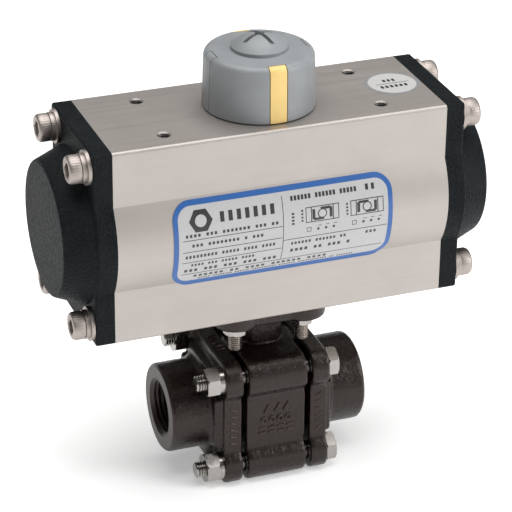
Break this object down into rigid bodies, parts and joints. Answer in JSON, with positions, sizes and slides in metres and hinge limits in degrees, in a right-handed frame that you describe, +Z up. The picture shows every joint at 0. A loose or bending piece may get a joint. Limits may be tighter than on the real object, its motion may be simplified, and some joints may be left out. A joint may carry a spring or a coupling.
{
  "type": "pneumatic actuated valve",
  "caption": "Double-acting rack and pinion air actuator that turns a three-piece threaded ball valve a quarter turn, with a position indicator on top.",
  "frame": {"origin": "where the stem axis meets the flat underside of the valve body", "axes": "+X along the pipe and the actuator bore, +Y to the air port side, +Z up the stem; the valve is closed and stands on its underside"},
  "size_m": [0.1578, 0.0709, 0.1667],
  "materials": {
    "anodised_body": "satin anodised",
    "cap_coating": "fine textured powder coat",
    "stainless_fasteners": "satin",
    "plated_fasteners": "bright",
    "dark_casting": "phosphated and oiled casting",
    "indicator_grey": "satin moulded",
    "indicator_yellow": "satin moulded",
    "label_film": "printed film",
    "sticker_film": "printed film",
    "seal_rubber": "moulded",
    "bearing_plastic": "moulded",
    "seat_ptfe": "turned",
    "pinion_steel": "machined and plated",
    "piston_aluminium": "die cast",
    "ball_stainless": "polished"
  },
  "bodies": {
    "housing": {"actuator_body": "anodised_body", "end_cap_left": "cap_coating", "end_cap_right": "cap_coating", "end_cap_screws": "stainless_fasteners", "end_cap_washers": "stainless_fasteners", "end_cap_lock_washers": "stainless_fasteners", "body_bolts": "plated_fasteners", "body_nuts": "plated_fasteners", "body_lock_washers": "plated_fasteners", "mounting_studs": "plated_fasteners", "mounting_nuts": "plated_fasteners", "mounting_washers": "plated_fasteners", "gland_ring": "plated_fasteners", "valve_body": "dark_casting", "valve_end_left": "dark_casting", "valve_end_right": "dark_casting", "name_label": "label_film", "inspection_sticker": "sticker_film", "end_cap_seal_left": "seal_rubber", "end_cap_seal_right": "seal_rubber", "pinion_lower_bearing": "bearing_plastic", "pinion_upper_bearing": "bearing_plastic", "inner_thrust_washer": "bearing_plastic", "outer_thrust_washer": "bearing_plastic", "seat_left": "seat_ptfe", "seat_right": "seat_ptfe", "body_seal_left": "seat_ptfe", "body_seal_right": "seat_ptfe", "stem_packing": "seat_ptfe", "stem_thrust_washer": "seat_ptfe", "centring_ring": "pinion_steel"},
    "rotor": {"pinion": "pinion_steel", "pinion_lower_seal": "seal_rubber", "pinion_upper_seal": "seal_rubber", "circlip_washer": "stainless_fasteners", "circlip": "plated_fasteners", "indicator_base_ring": "seal_rubber", "indicator_cap": "indicator_grey", "indicator_stripes": "indicator_yellow", "indicator_blanks": "indicator_grey", "indicator_screw": "indicator_grey", "drive_sleeve": "pinion_steel", "valve_stem": "pinion_steel", "stem_seal": "seal_rubber", "gland_nut": "plated_fasteners", "gland_lock_washer": "plated_fasteners", "belleville_washers": "plated_fasteners", "ball": "ball_stainless"},
    "piston_right": {"piston_right": "piston_aluminium", "piston_seal_right": "seal_rubber", "piston_guide_ring_right": "bearing_plastic", "piston_pad_right": "bearing_plastic"},
    "piston_left": {"piston_left": "piston_aluminium", "piston_seal_left": "seal_rubber", "piston_guide_ring_left": "bearing_plastic", "piston_pad_left": "bearing_plastic"}
  },
  "joints": [
    {"name": "pinion_turn", "type": "hinge", "parent": "housing", "child": "rotor", "pos_m": [0, 0, 0.10435], "axis": [0, 0, 1], "range_deg": [0, 90]},
    {"name": "piston_right_slide", "type": "slide", "parent": "housing", "child": "piston_right", "axis": [1, 0, 0], "range_m": [0, 0.01571]},
    {"name": "piston_left_slide", "type": "slide", "parent": "housing", "child": "piston_left", "axis": [-1, 0, 0], "range_m": [0, 0.01571]}
  ],
  "couplings": [
    {"joint": "piston_right_slide", "follows": "pinion_turn", "m_per_rad": 0.01},
    {"joint": "piston_left_slide", "follows": "pinion_turn", "m_per_rad": 0.01}
  ]
}
